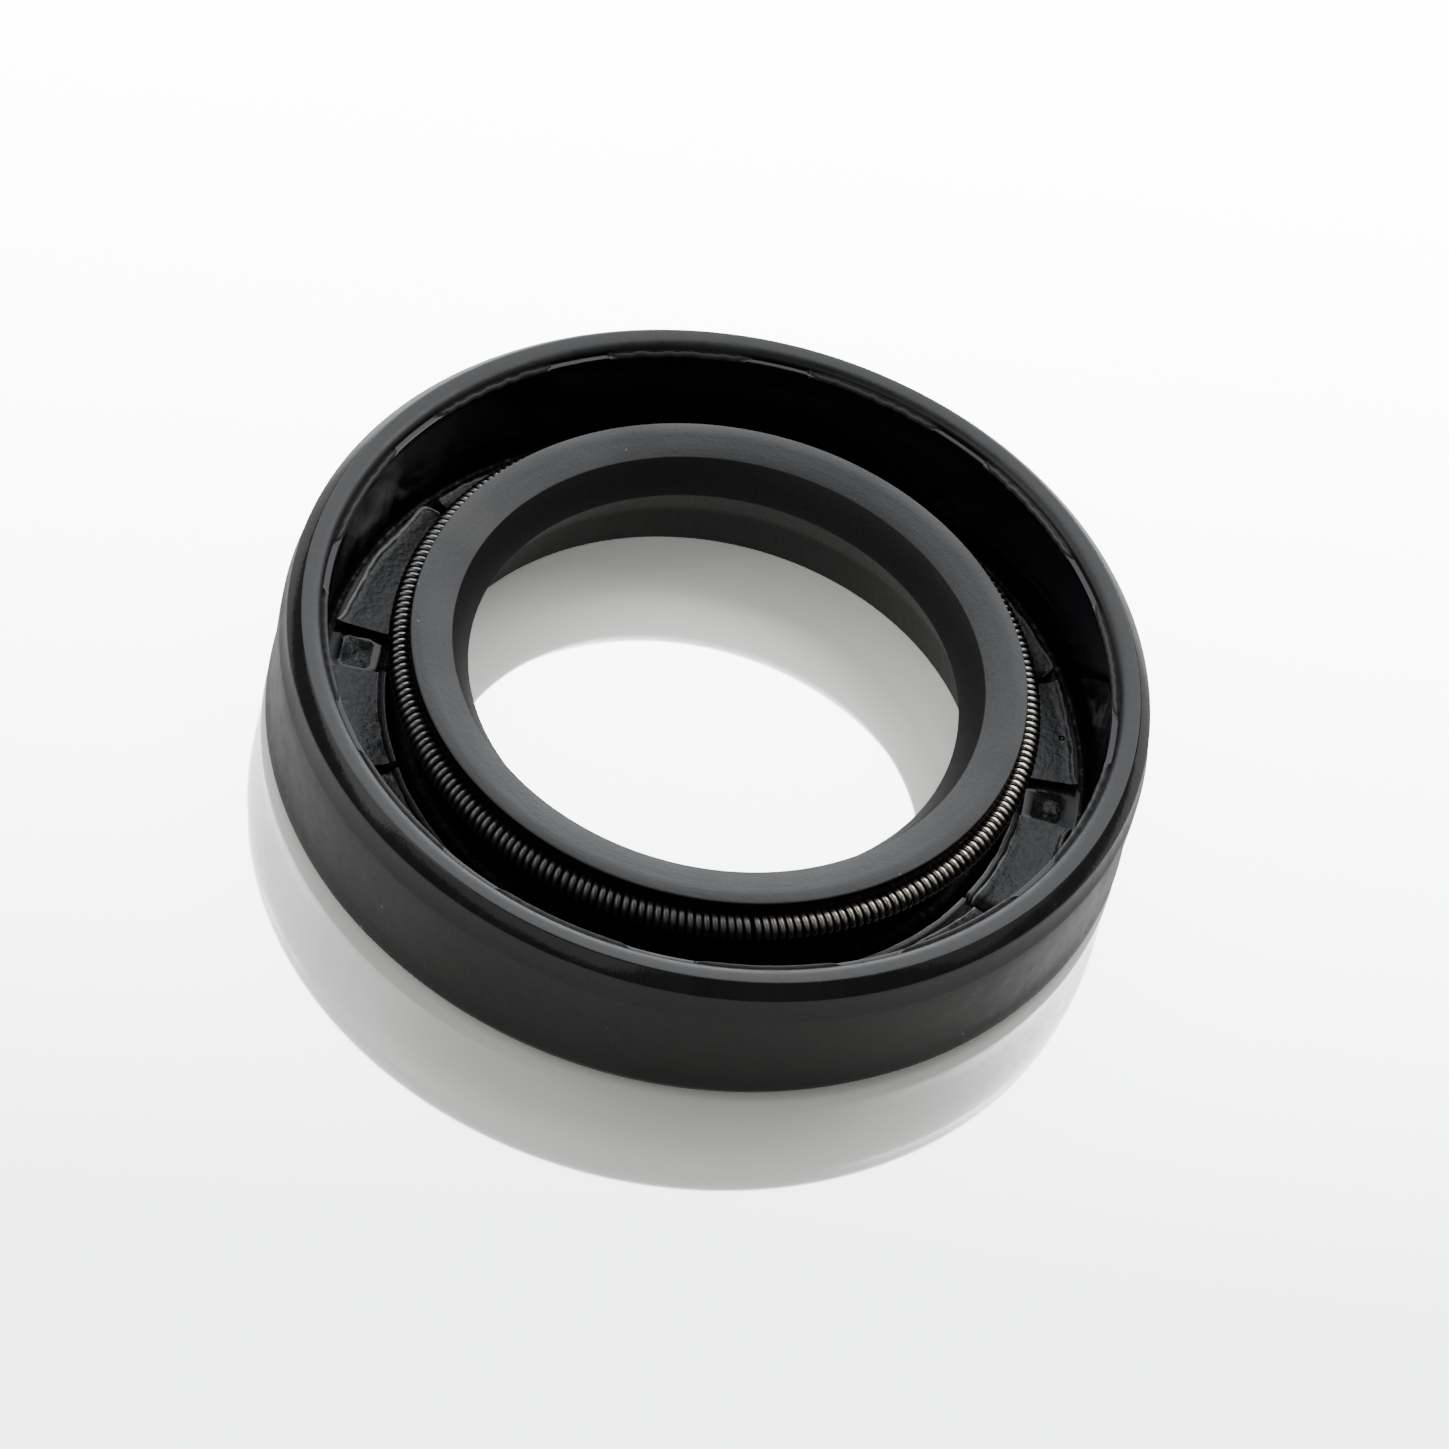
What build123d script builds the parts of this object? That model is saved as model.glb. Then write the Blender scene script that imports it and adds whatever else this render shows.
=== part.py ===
from build123d import *
from math import asin, ceil, cos, degrees, pi, radians, sin, tan
import os

# Radial shaft seal, 25 x 42 x 8 mm: a nitrile rubber body moulded round a pressed steel case,
# with a garter spring in the groove behind the sealing lip.
# Millimetres. +Z points to the spring side, and the origin is the axis in the back face.

# Sizes of the fit: the shaft, the housing and the width between them
shaft_diameter = 25.0
housing_bore = 42.0
seal_width = 8.0
press_interference = 0.2
lip_interference = 1.2

# Outside of the rubber body
lead_in_step = 0.23
lead_in_length = 1.33
front_chamfer_radial = 0.57
front_chamfer_axial = 0.67
back_chamfer_radial = 0.53
back_chamfer_axial = 0.79

# Rubber over the steel case
outer_cover = 1.2
back_cover = 0.85
rim_cover = 0.45
rim_land = 0.6
rim_bead = 0.15
pad_height = 0.4
hole_edge_cover = 0.45
pad_wall_gap = 0.7

# Pressed steel case, an L in section
sheet_thickness = 0.9
case_bend_radius = 0.5

# Sealing lip and its flexing neck
lip_recess = 1.06
lip_top_rise = 0.28
lip_head_width = 3.06
oil_face_depth = 1.64
oil_face_angle = 31.6
air_face_angle = 25.6
air_face_base = 3.0
heel_clearance = 1.25
neck_thickness = 0.85
neck_groove_radius = 0.7
spring_rib = 0.45

# Garter spring, and the groove that it sits in
coil_diameter = 1.3
spring_stand_out = 0.24
spring_above_edge = 0.44
spring_seat_clearance = 0.05

# Marks of the mould supports that hold the case while the rubber flows
support_count = 12
support_angle = 10.0
support_phase = 21.5
support_rim_depth = 0.3
support_floor_margin = 0.3

# Radii from the housing inwards
od_radius = (housing_bore + press_interference) / 2
lead_in_radius = od_radius - lead_in_step
rim_outer_radius = lead_in_radius - front_chamfer_radial
rim_inner_radius = rim_outer_radius - rim_land
back_edge_radius = od_radius - back_chamfer_radial
case_outer_radius = od_radius - outer_cover
case_inner_radius = case_outer_radius - sheet_thickness
pad_outer_radius = case_inner_radius - pad_wall_gap
notch_radius = case_inner_radius + support_rim_depth

# Heights from the back face
web_bottom = back_cover
web_top = web_bottom + sheet_thickness
pad_top = web_top + pad_height
case_top = seal_width - rim_cover
front_chamfer_bottom = seal_width - front_chamfer_axial
lead_in_bottom = front_chamfer_bottom - lead_in_length
lip_top = seal_width - lip_recess
edge_height = lip_top - oil_face_depth
spring_height = edge_height + spring_above_edge

# Radii from the shaft outwards
edge_radius = (shaft_diameter - lip_interference) / 2
heel_radius = shaft_diameter / 2 + heel_clearance
lip_inner_radius = edge_radius + oil_face_depth * tan(radians(oil_face_angle))
air_base_radius = edge_radius + (edge_height - air_face_base) * tan(radians(air_face_angle))
head_radius = edge_radius + lip_head_width
spring_radius = head_radius + spring_stand_out
neck_inner_radius = heel_radius + (air_base_radius - heel_radius) * pad_top / air_face_base
neck_outer_radius = neck_inner_radius + neck_thickness
groove_outer_radius = neck_outer_radius + 2 * neck_groove_radius
case_hole_radius = groove_outer_radius + hole_edge_cover

# Spring groove: a little wider than the coil, which rests against its innermost flat. Coil and
# groove have the same flats in section
coil_flats = 8
coil_radius = coil_diameter / 2
seat_radius = coil_radius + spring_seat_clearance
seat_centre_radius = spring_radius + spring_seat_clearance * cos(pi / coil_flats)
rib_bottom = spring_height - seat_radius - spring_rib

# Middle of the steel sheet, where the rubber's section is closed before the case is taken out of it
sheet_middle_radius = case_inner_radius + sheet_thickness / 2
sheet_middle_height = web_bottom + sheet_thickness / 2

# Round stretches of the sections are flats of about this many degrees, to keep the solids light
flat_angle = 36.0

os.makedirs("parts", exist_ok=True)


def arc_points(centre, radius, start, turn):
    """Points along an arc, both ends included, with angles in degrees from the outward direction."""
    flats = ceil(abs(turn) / flat_angle)
    angles = [radians(start + turn * step / flats) for step in range(flats + 1)]
    return [(centre[0] + radius * cos(angle), centre[1] + radius * sin(angle)) for angle in angles]


# Metal case: sheet steel pressed to an L in section, its wall upright and its web turned inwards
bend_centre = (case_inner_radius - case_bend_radius, web_top + case_bend_radius)
with BuildPart() as metal_case:
    with BuildSketch(Plane.XZ):
        with BuildLine():
            Polyline(
                (case_outer_radius, case_top),
                (case_inner_radius, case_top),
                *arc_points(bend_centre, case_bend_radius, 0, -90),
                (case_hole_radius, web_top),
                (case_hole_radius, web_bottom),
                *arc_points(bend_centre, case_bend_radius + sheet_thickness, -90, 90),
                close=True,
            )
        make_face()
    revolve(axis=Axis.Z)
metal_case.part.label = "metal_case"

# Rim corner: an arc that leaves the rim's flat smoothly and falls to the bead over the case's edge
corner_width = rim_inner_radius - case_inner_radius
corner_fall = rim_cover - rim_bead
corner_radius = (corner_width**2 + corner_fall**2) / (2 * corner_fall)
corner_centre = (rim_inner_radius, seal_width - corner_radius)
corner_turn = degrees(asin(corner_width / corner_radius))

# Neck: an arc that stands upright on the groove's inner side and swells to the rib under the spring
groove_centre = (neck_outer_radius + neck_groove_radius, pad_top)
neck_swell = head_radius - neck_outer_radius
neck_rise = rib_bottom - pad_top
neck_radius = (neck_swell**2 + neck_rise**2) / (2 * neck_swell)
neck_centre = (neck_outer_radius + neck_radius, pad_top)
neck_turn = degrees(asin(neck_rise / neck_radius))

# Rubber body: one moulding that covers the case outside, behind and over its rim, and carries the
# lip on a thin neck; the case is taken out of it, so rubber and steel share their faces
with BuildPart() as rubber_body:
    with BuildSketch(Plane.XZ):
        with BuildLine():
            Polyline(
                (heel_radius, 0),
                (back_edge_radius, 0),
                (od_radius, back_chamfer_axial),
                (od_radius, lead_in_bottom),
                (lead_in_radius, front_chamfer_bottom),
                (rim_outer_radius, seal_width),
                *arc_points(corner_centre, corner_radius, 90, corner_turn),
                (case_inner_radius, case_top),
                (sheet_middle_radius, case_top - sheet_thickness / 2),
                (sheet_middle_radius, bend_centre[1]),
                (bend_centre[0], sheet_middle_height),
                (pad_outer_radius, sheet_middle_height),
                (pad_outer_radius, pad_top),
                *arc_points(groove_centre, neck_groove_radius, 0, -180),
                *arc_points(neck_centre, neck_radius, 180, -neck_turn)[1:],
                (head_radius, lip_top + lip_top_rise),
                (lip_inner_radius, lip_top),
                (edge_radius, edge_height),
                (air_base_radius, air_face_base),
                close=True,
            )
        make_face()
        with Locations((seat_centre_radius, spring_height)):
            RegularPolygon(seat_radius, coil_flats, rotation=180 / coil_flats, mode=Mode.SUBTRACT)
    revolve(axis=Axis.Z)
    add(metal_case.part, mode=Mode.SUBTRACT)

    # Each support leaves a pocket between two pads on the cavity floor, down to the steel,
    # and a notch in the inner corner of the rim above it
    pocket_radius = case_hole_radius + support_floor_margin
    half_angle = radians(support_angle) / 2
    with BuildSketch(Plane.XY.offset(sheet_middle_height)):
        with Locations(Rotation(0, 0, support_phase)):
            with PolarLocations(0, support_count):
                Polygon(
                    (pocket_radius, pocket_radius * tan(half_angle)),
                    (pocket_radius, -pocket_radius * tan(half_angle)),
                    (notch_radius, -notch_radius * tan(half_angle)),
                    (notch_radius, notch_radius * tan(half_angle)),
                    align=None,
                )
    extrude(amount=seal_width, mode=Mode.SUBTRACT)
rubber_body.part.label = "rubber_body"

# Garter spring: a fine close-wound coil joined end to end, given here by its outer form, one ring
with BuildPart() as garter_spring:
    with BuildSketch(Plane.XZ):
        with Locations((spring_radius, spring_height)):
            RegularPolygon(coil_radius, coil_flats, rotation=180 / coil_flats)
    revolve(axis=Axis.Z)
garter_spring.part.label = "garter_spring"

export_step(metal_case.part, "parts/metal_case.step")
export_step(rubber_body.part, "parts/rubber_body.step")
export_step(garter_spring.part, "parts/garter_spring.step")
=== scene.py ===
import bpy
import bmesh
from math import asin, atan2, cos, degrees, exp, hypot, pi, radians, sin, tan, tanh
from mathutils import Matrix, Vector, noise


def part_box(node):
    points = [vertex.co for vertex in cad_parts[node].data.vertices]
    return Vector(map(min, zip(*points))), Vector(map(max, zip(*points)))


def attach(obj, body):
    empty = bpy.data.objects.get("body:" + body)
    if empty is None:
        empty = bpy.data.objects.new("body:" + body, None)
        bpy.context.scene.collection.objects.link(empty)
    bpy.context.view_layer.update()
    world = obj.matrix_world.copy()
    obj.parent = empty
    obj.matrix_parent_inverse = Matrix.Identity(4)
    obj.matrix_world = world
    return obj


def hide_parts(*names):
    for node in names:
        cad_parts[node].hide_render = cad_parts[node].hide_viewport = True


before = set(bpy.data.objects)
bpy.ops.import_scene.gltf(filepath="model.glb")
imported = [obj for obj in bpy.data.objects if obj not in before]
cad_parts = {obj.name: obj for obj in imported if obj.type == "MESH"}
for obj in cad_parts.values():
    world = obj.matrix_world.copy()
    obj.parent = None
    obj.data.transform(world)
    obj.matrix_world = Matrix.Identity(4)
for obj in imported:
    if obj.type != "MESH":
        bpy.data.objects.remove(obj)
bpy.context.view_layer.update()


# Metal case: sheet steel pressed to an L in section and bonded in the rubber, with a thin glossy
# black coat. Its upright wall and bend stay in view in the cavity, and its web shows in every
# second pocket, where the mould's supports stood and left a rough patch in a stamped frame.
mm = 0.001
steps_round = 720
case_low, case_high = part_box("metal_case")
case_outer_radius = case_high[0] / mm
case_top = case_high[2] / mm
web_bottom = case_low[2] / mm
sheet_thickness = 0.9
case_inner_radius = case_outer_radius - sheet_thickness
web_top = web_bottom + sheet_thickness
case_hole_radius = 15.91
case_bend_radius = 0.5
sheared_edge = 0.05
support_pitch = 30.0
support_phase = 21.5
support_half_angle = 4.5
pocket_radius = 16.2
wall_rings = (7.0, 6.4, 5.8, 5.2, 4.6, 4.0, 3.4, 2.8)
web_first_ring = 18.36
web_ring_step = 0.12
web_ring_count = 18
# Painted shade in the corner between the web and the wall: its least radius and its height
corner_shade_radius = 18.4
corner_shade_height = 0.42
frame_middle_radius = 17.08
frame_half_width = 0.7
frame_half_length = 0.86
frame_corner = 0.3
frame_height = 0.075
frame_ridge_place = 0.12
frame_ridge_width = 0.09
grit_height = 0.05
dome_supports = (3, 7, 11)
dome_middle_radius = frame_middle_radius + 0.16
dome_radius = 0.42
dome_height = 0.09
# Each lighter grey streak on the wall: its middle and half width in degrees, and its strength
grey_wall_streaks = ((136, 3.5, 0.08), (149, 5.0, 0.85), (162, 4.5, 1.0), (238, 6.0, 0.25), (300, 5.0, 0.2))
streak_middle_height = 4.0
streak_spread = 1.9


def spun_ring(outline):
    """A mesh of the closed outline of (radius, height) corners in millimetres, spun round the axis."""
    mesh = bmesh.new()
    corners = [mesh.verts.new((radius * mm, 0.0, height * mm)) for radius, height in outline]
    sides = [mesh.edges.new(pair) for pair in zip(corners, corners[1:] + corners[:1])]
    bmesh.ops.spin(
        mesh,
        geom=corners + sides,
        cent=(0, 0, 0),
        axis=(0, 0, 1),
        angle=2 * pi,
        steps=steps_round,
        use_merge=True,
    )
    bmesh.ops.recalc_face_normals(mesh, faces=mesh.faces)
    return mesh


def round_off(mesh, radius, height, size, segments):
    """Bevels the ring edge that runs at this radius and height."""

    def on_ring(vert):
        return abs(hypot(vert.co.x, vert.co.y) / mm - radius) < 0.004 and abs(vert.co.z / mm - height) < 0.004

    ring = [edge for edge in mesh.edges if on_ring(edge.verts[0]) and on_ring(edge.verts[1])]
    bmesh.ops.bevel(
        mesh,
        geom=ring,
        offset=size * mm,
        offset_type="OFFSET",
        segments=segments,
        profile=0.5,
        affect="EDGES",
        material=-1,
    )


def place_in_share(angle):
    """Degrees from the middle of the nearest mould support, and the number of that support."""
    turned = angle - support_phase + support_pitch / 2
    return turned % support_pitch - support_pitch / 2, int(turned // support_pitch) % 12


def polar(point):
    """Radius in millimetres, angle in degrees and height in millimetres of a point."""
    return hypot(point.x, point.y) / mm, degrees(atan2(point.y, point.x)), point.z / mm


def put(vert, radius, angle, height):
    """Moves a corner to a radius, angle and height, in millimetres and degrees."""
    vert.co = Vector((radius * cos(radians(angle)), radius * sin(radians(angle)), height)) * mm


def wander(angle, radius, scale):
    """Smooth noise between -1 and 1 over angle and radius, the same on every run."""
    turn = radians(angle)
    return noise.noise(Vector((radius * cos(turn), radius * sin(turn), 0.37 * scale)) * scale) * 1.6


def finished_piece(mesh, name, materials, sharp_angle):
    """Makes the object of a mesh, smooth between its sharp edges."""
    data = bpy.data.meshes.new(name)
    mesh.to_mesh(data)
    mesh.free()
    for material in materials:
        data.materials.append(material)
    data.shade_smooth()
    data.set_sharp_from_angle(angle=radians(sharp_angle))
    piece = bpy.data.objects.new(name, data)
    bpy.context.scene.collection.objects.link(piece)
    even = piece.modifiers.new("even_shading", "WEIGHTED_NORMAL")
    even.keep_sharp = True
    return piece


def new_material(name):
    material = bpy.data.materials.new(name)
    material.use_nodes = True
    nodes, links = material.node_tree.nodes, material.node_tree.links
    return material, nodes, links, nodes["Principled BSDF"]


def new_group(name, inputs, outputs):
    """An empty node group: inputs are (name, kind, default), outputs are (name, kind)."""
    group = bpy.data.node_groups.new(name, "ShaderNodeTree")
    for label, kind, default in inputs:
        socket = group.interface.new_socket(name=label, in_out="INPUT", socket_type=kind)
        if default is not None:
            socket.default_value = default
    for label, kind in outputs:
        group.interface.new_socket(name=label, in_out="OUTPUT", socket_type=kind)
    return group, group.nodes.new("NodeGroupInput"), group.nodes.new("NodeGroupOutput")


def math_node(nodes, links, operation, first, second):
    node = nodes.new("ShaderNodeMath")
    node.operation = operation
    for socket, value in zip(node.inputs, (first, second)):
        if isinstance(value, bpy.types.NodeSocket):
            links.new(value, socket)
        else:
            socket.default_value = value
    return node.outputs[0]


def make_streak_group():
    """Noise drawn out round the axis, as cutting and flowing leave it."""
    group, entry, result = new_group(
        "drawn_streaks",
        [("Around", "NodeSocketFloat", 4.0), ("Across", "NodeSocketFloat", 2000.0)],
        [("Height", "NodeSocketFloat")],
    )
    nodes, links = group.nodes, group.links
    place = nodes.new("ShaderNodeTexCoord")
    flat = nodes.new("ShaderNodeVectorMath")
    flat.operation = "MULTIPLY"
    flat.inputs[1].default_value = (1, 1, 0)
    links.new(place.outputs["Object"], flat.inputs[0])
    size = nodes.new("ShaderNodeVectorMath")
    size.operation = "LENGTH"
    links.new(flat.outputs["Vector"], size.inputs[0])
    outward = nodes.new("ShaderNodeVectorMath")
    outward.operation = "NORMALIZE"
    links.new(flat.outputs["Vector"], outward.inputs[0])
    split = nodes.new("ShaderNodeSeparateXYZ")
    links.new(outward.outputs["Vector"], split.inputs[0])
    raised = nodes.new("ShaderNodeSeparateXYZ")
    links.new(place.outputs["Object"], raised.inputs[0])
    along_x = math_node(nodes, links, "MULTIPLY", split.outputs["X"], entry.outputs["Around"])
    along_y = math_node(nodes, links, "MULTIPLY", split.outputs["Y"], entry.outputs["Around"])
    depth = math_node(nodes, links, "ADD", size.outputs["Value"], raised.outputs["Z"])
    across = math_node(nodes, links, "MULTIPLY", depth, entry.outputs["Across"])
    joined = nodes.new("ShaderNodeCombineXYZ")
    links.new(along_x, joined.inputs["X"])
    links.new(along_y, joined.inputs["Y"])
    links.new(across, joined.inputs["Z"])
    streaks = nodes.new("ShaderNodeTexNoise")
    streaks.inputs["Scale"].default_value = 1.0
    streaks.inputs["Detail"].default_value = 4
    streaks.inputs["Roughness"].default_value = 0.65
    links.new(joined.outputs["Vector"], streaks.inputs["Vector"])
    links.new(streaks.outputs["Fac"], result.inputs["Height"])
    return group


def make_dust_group():
    """Few small specks: dots of Voronoi cells, kept only where the cell's random value is high."""
    group, entry, result = new_group(
        "dust_specks",
        [
            ("Scale", "NodeSocketFloat", 900.0),
            ("Size", "NodeSocketFloat", 0.08),
            ("Share", "NodeSocketFloat", 0.1),
        ],
        [("Mask", "NodeSocketFloat")],
    )
    nodes, links = group.nodes, group.links
    place = nodes.new("ShaderNodeTexCoord")
    stir = nodes.new("ShaderNodeTexNoise")
    stir.inputs["Scale"].default_value = 700
    links.new(place.outputs["Object"], stir.inputs["Vector"])
    shifted = nodes.new("ShaderNodeVectorMath")
    shifted.operation = "MULTIPLY_ADD"
    shifted.inputs[1].default_value = (0.0004, 0.0004, 0.0004)
    links.new(stir.outputs["Color"], shifted.inputs[0])
    links.new(place.outputs["Object"], shifted.inputs[2])
    cells = nodes.new("ShaderNodeTexVoronoi")
    cells.feature = "F1"
    links.new(shifted.outputs["Vector"], cells.inputs["Vector"])
    links.new(entry.outputs["Scale"], cells.inputs["Scale"])
    chance = nodes.new("ShaderNodeSeparateColor")
    links.new(cells.outputs["Color"], chance.inputs["Color"])
    reach = math_node(nodes, links, "MULTIPLY", chance.outputs["Green"], entry.outputs["Size"])
    near = math_node(nodes, links, "LESS_THAN", cells.outputs["Distance"], reach)
    rare = math_node(nodes, links, "LESS_THAN", chance.outputs["Red"], entry.outputs["Share"])
    links.new(math_node(nodes, links, "MULTIPLY", near, rare), result.inputs["Mask"])
    return group


streak_group = make_streak_group()
dust_group = make_dust_group()


def add_group(nodes, group, **settings):
    """Places a node group with this material's own values."""
    node = nodes.new("ShaderNodeGroup")
    node.node_tree = group
    for label, value in settings.items():
        node.inputs[label].default_value = value
    return node


def add_noise(nodes, links, scale, detail, stretch=(1, 1, 1)):
    """Noise over the object's own coordinates, in lumps per metre."""
    place = nodes.new("ShaderNodeTexCoord")
    stretched = nodes.new("ShaderNodeMapping")
    stretched.inputs["Scale"].default_value = stretch
    links.new(place.outputs["Object"], stretched.inputs["Vector"])
    lumps = nodes.new("ShaderNodeTexNoise")
    lumps.inputs["Scale"].default_value = scale
    lumps.inputs["Detail"].default_value = detail
    links.new(stretched.outputs["Vector"], lumps.inputs["Vector"])
    return lumps.outputs["Fac"]


def ranged(nodes, links, value, low, high, new_low, new_high):
    """Carries a value over from one range to another, held at the ends."""
    node = nodes.new("ShaderNodeMapRange")
    for label, number in zip(("From Min", "From Max", "To Min", "To Max"), (low, high, new_low, new_high)):
        node.inputs[label].default_value = number
    links.new(value, node.inputs["Value"])
    return node.outputs["Result"]


def blended(nodes, links, factor, first, second):
    """Mixes two colours, each a tuple or a socket, by a mask."""
    node = nodes.new("ShaderNodeMix")
    node.data_type = "RGBA"
    links.new(factor, node.inputs["Factor"])
    for label, colour in (("A", first), ("B", second)):
        socket = [entry for entry in node.inputs if entry.name == label and entry.type == "RGBA"][0]
        if isinstance(colour, bpy.types.NodeSocket):
            links.new(colour, socket)
        else:
            socket.default_value = colour
    return [entry for entry in node.outputs if entry.type == "RGBA"][0]


def bumped(nodes, links, heights, shader):
    """Chains bumps from (height socket, depth in millimetres) pairs into the shader's normal."""
    last = None
    for height, depth in heights:
        bump = nodes.new("ShaderNodeBump")
        bump.inputs["Strength"].default_value = 1.0
        bump.inputs["Distance"].default_value = depth * mm
        links.new(height, bump.inputs["Height"])
        if last is not None:
            links.new(last, bump.inputs["Normal"])
        last = bump.outputs["Normal"]
    links.new(last, shader.inputs["Normal"])


def add_painted_shade(nodes, links, shader):
    """Painted shade: matt black mixed over the main shader where the mesh's attribute says, broken into
    patches.
    """
    painted_shade = nodes.new("ShaderNodeBsdfPrincipled")
    painted_shade.inputs["Base Color"].default_value = (0.0025, 0.0025, 0.003, 1)
    painted_shade.inputs["Roughness"].default_value = 0.7
    painted_shade.inputs["Specular IOR Level"].default_value = 0.06
    amount = nodes.new("ShaderNodeAttribute")
    amount.attribute_name = "painted_shade"
    patches = add_noise(nodes, links, 2600, 4)
    broken = ranged(nodes, links, patches, 0.2, 0.5, 0.6, 1.0)
    share = math_node(nodes, links, "MULTIPLY", amount.outputs["Fac"], broken)
    mix = nodes.new("ShaderNodeMixShader")
    links.new(share, mix.inputs["Fac"])
    links.new(shader.outputs["BSDF"], mix.inputs[1])
    links.new(painted_shade.outputs["BSDF"], mix.inputs[2])
    links.new(mix.outputs["Shader"], nodes["Material Output"].inputs["Surface"])


def make_case_coat():
    """Glossy black coat, lighter grey in streaks down the wall beside some supports."""
    material, nodes, links, shader = new_material("black_bonding_coat")
    ripple = add_noise(nodes, links, 330, 2, (1, 1, 0.25))
    film = nodes.new("ShaderNodeAttribute")
    film.attribute_name = "film"
    lobes = ranged(nodes, links, ripple, 0.42, 0.56, 0.15, 1.0)
    lobes = math_node(nodes, links, "MULTIPLY", film.outputs["Fac"], lobes)
    tint = blended(nodes, links, lobes, (0.008, 0.008, 0.0105, 1), (0.4, 0.405, 0.395, 1))
    links.new(tint, shader.inputs["Base Color"])
    links.new(ranged(nodes, links, ripple, 0.35, 0.7, 0.09, 0.2), shader.inputs["Roughness"])
    fine = add_noise(nodes, links, 3000, 3)
    bumped(nodes, links, [(ripple, 0.07), (fine, 0.0015)], shader)
    add_painted_shade(nodes, links, shader)
    return material


def make_pocket_floor():
    """The stamped patch in an open pocket: rough, with bright grit where it is worn."""
    material, nodes, links, shader = new_material("rough_pocket_floor")
    grit = add_noise(nodes, links, 6500, 4)
    lumps = add_noise(nodes, links, 1900, 3)
    sparkle = ranged(nodes, links, math_node(nodes, links, "MULTIPLY", grit, lumps), 0.24, 0.4, 0.0, 1.0)
    worn = nodes.new("ShaderNodeAttribute")
    worn.attribute_name = "film"
    sparkle = math_node(nodes, links, "MULTIPLY", sparkle, worn.outputs["Fac"])
    tint = blended(nodes, links, sparkle, (0.008, 0.008, 0.009, 1), (0.2, 0.2, 0.205, 1))
    links.new(tint, shader.inputs["Base Color"])
    links.new(ranged(nodes, links, grit, 0.3, 0.7, 0.22, 0.5), shader.inputs["Roughness"])
    bumped(nodes, links, [(lumps, 0.16), (grit, 0.05)], shader)
    add_painted_shade(nodes, links, shader)
    return material


def frame_distance(radius, place):
    """Millimetres outside (or, below zero, inside) the stamped frame with rounded corners."""
    over_radius = abs(radius - frame_middle_radius) - (frame_half_width - frame_corner)
    over_length = abs(radians(place) * radius) - (frame_half_length - frame_corner)
    outside = hypot(max(over_radius, 0.0), max(over_length, 0.0))
    return outside + min(max(over_radius, over_length), 0.0) - frame_corner


case_mesh = spun_ring(
    [
        (case_outer_radius, case_top),
        (case_inner_radius, case_top),
        *[(case_inner_radius, height) for height in wall_rings],
        (case_inner_radius, web_top),
        *[(web_first_ring - web_ring_step * ring, web_top) for ring in range(web_ring_count)],
        (case_hole_radius, web_top),
        (case_hole_radius, web_bottom),
        (case_outer_radius, web_bottom),
    ]
)
round_off(case_mesh, case_inner_radius, web_top, case_bend_radius, 8)
round_off(case_mesh, case_outer_radius, web_bottom, case_bend_radius + sheet_thickness, 3)
round_off(case_mesh, case_inner_radius, case_top, sheared_edge, 2)
grey_streak_and_grit_layer = case_mesh.verts.layers.float.new("film")
case_shade_layer = case_mesh.verts.layers.float.new("painted_shade")
for vert in case_mesh.verts:
    radius, angle, height = polar(vert.co)
    place, number = place_in_share(angle)
    # Painted shade in the corner between the web and the wall
    if height < web_top + corner_shade_height and radius > corner_shade_radius:
        vert[case_shade_layer] = 0.95
    if abs(radius - case_inner_radius) < 0.3 and web_top < height < case_top - 0.1:
        for middle, half_width, strength in grey_wall_streaks:
            across = (angle % 360 - middle + 1.6 * wander(middle, height, 0.8)) / half_width
            above = (height - streak_middle_height) / streak_spread
            smear = max(0.0, 1 - across**2) * (0.2 + 0.8 * exp(-(above**2)))
            vert[grey_streak_and_grit_layer] = max(vert[grey_streak_and_grit_layer], strength * smear)
    if abs(height - web_top) < 0.004 and radius > pocket_radius and abs(place) < support_half_angle:
        gap = frame_distance(radius, place)
        rise = frame_height * exp(-(((gap - frame_ridge_place) / frame_ridge_width) ** 2))
        dome = hypot(radius - dome_middle_radius, radians(place) * radius) / dome_radius
        domed = number in dome_supports
        if domed:
            rise *= 0.25
            vert[grey_streak_and_grit_layer] = 1.0 if dome < 1.0 else 0.12
            # Painted shade on the pocket's floor round the dome
            vert[case_shade_layer] = 0.0 if dome < 1.0 or gap > 0.15 else 0.85
        elif gap < 0.0:
            vert[grey_streak_and_grit_layer] = 0.75 + 0.25 * wander(angle, radius, 2.0)
            # Painted shade in patches on the pocket's floor
            vert[case_shade_layer] = min(0.8, max(0.0, 0.45 - 0.9 * wander(angle, radius, 1.1)))
        if gap < 0.0:
            rise += grit_height * min(1.0, -gap / 0.15) * (0.5 + wander(angle, radius, 3.1))
        if domed and dome < 1.0:
            rise += dome_height * (1 - dome**2)
        put(vert, radius, angle, height + rise)
for face in case_mesh.faces:
    radius, angle, height = polar(face.calc_center_median())
    place, _ = place_in_share(angle)
    on_web = web_top - 0.02 < height < web_top + 0.3 and radius > pocket_radius and face.normal.z > 0.3
    if on_web and abs(place) < support_half_angle and frame_distance(radius, place) < 0.02:
        face.material_index = 1
case = finished_piece(case_mesh, "pressed_case", [make_case_coat(), make_pocket_floor()], 40.0)
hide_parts("metal_case")
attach(case, "root")


# Rubber body: one nitrile moulding that covers the case outside, behind and over its rim, and
# carries the lip on a thin neck. The lip's top is cut after moulding and is paler. Thin flash
# stands along the floor pads, beside the neck's groove and on the case's rim.
body_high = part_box("rubber_body")[1]
od_radius = body_high[0] / mm
seal_width = body_high[2] / mm
back_chamfer = (0.53, 0.79)
# The outside wall is drawn in between the chamfers: shares of this depth, with their heights
waist_depth = 0.07
waist = ((0.8, 1.5), (1.0, 2.1), (0.85, 3.0), (0.4, 4.1), (0.0, 5.1))
lead_in = (0.19, 1.33)
lead_in_shares = (0.06, 0.14, 0.25, 0.4, 0.6, 0.8, 1.0)
front_chamfer = (0.61, 0.67)
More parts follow.
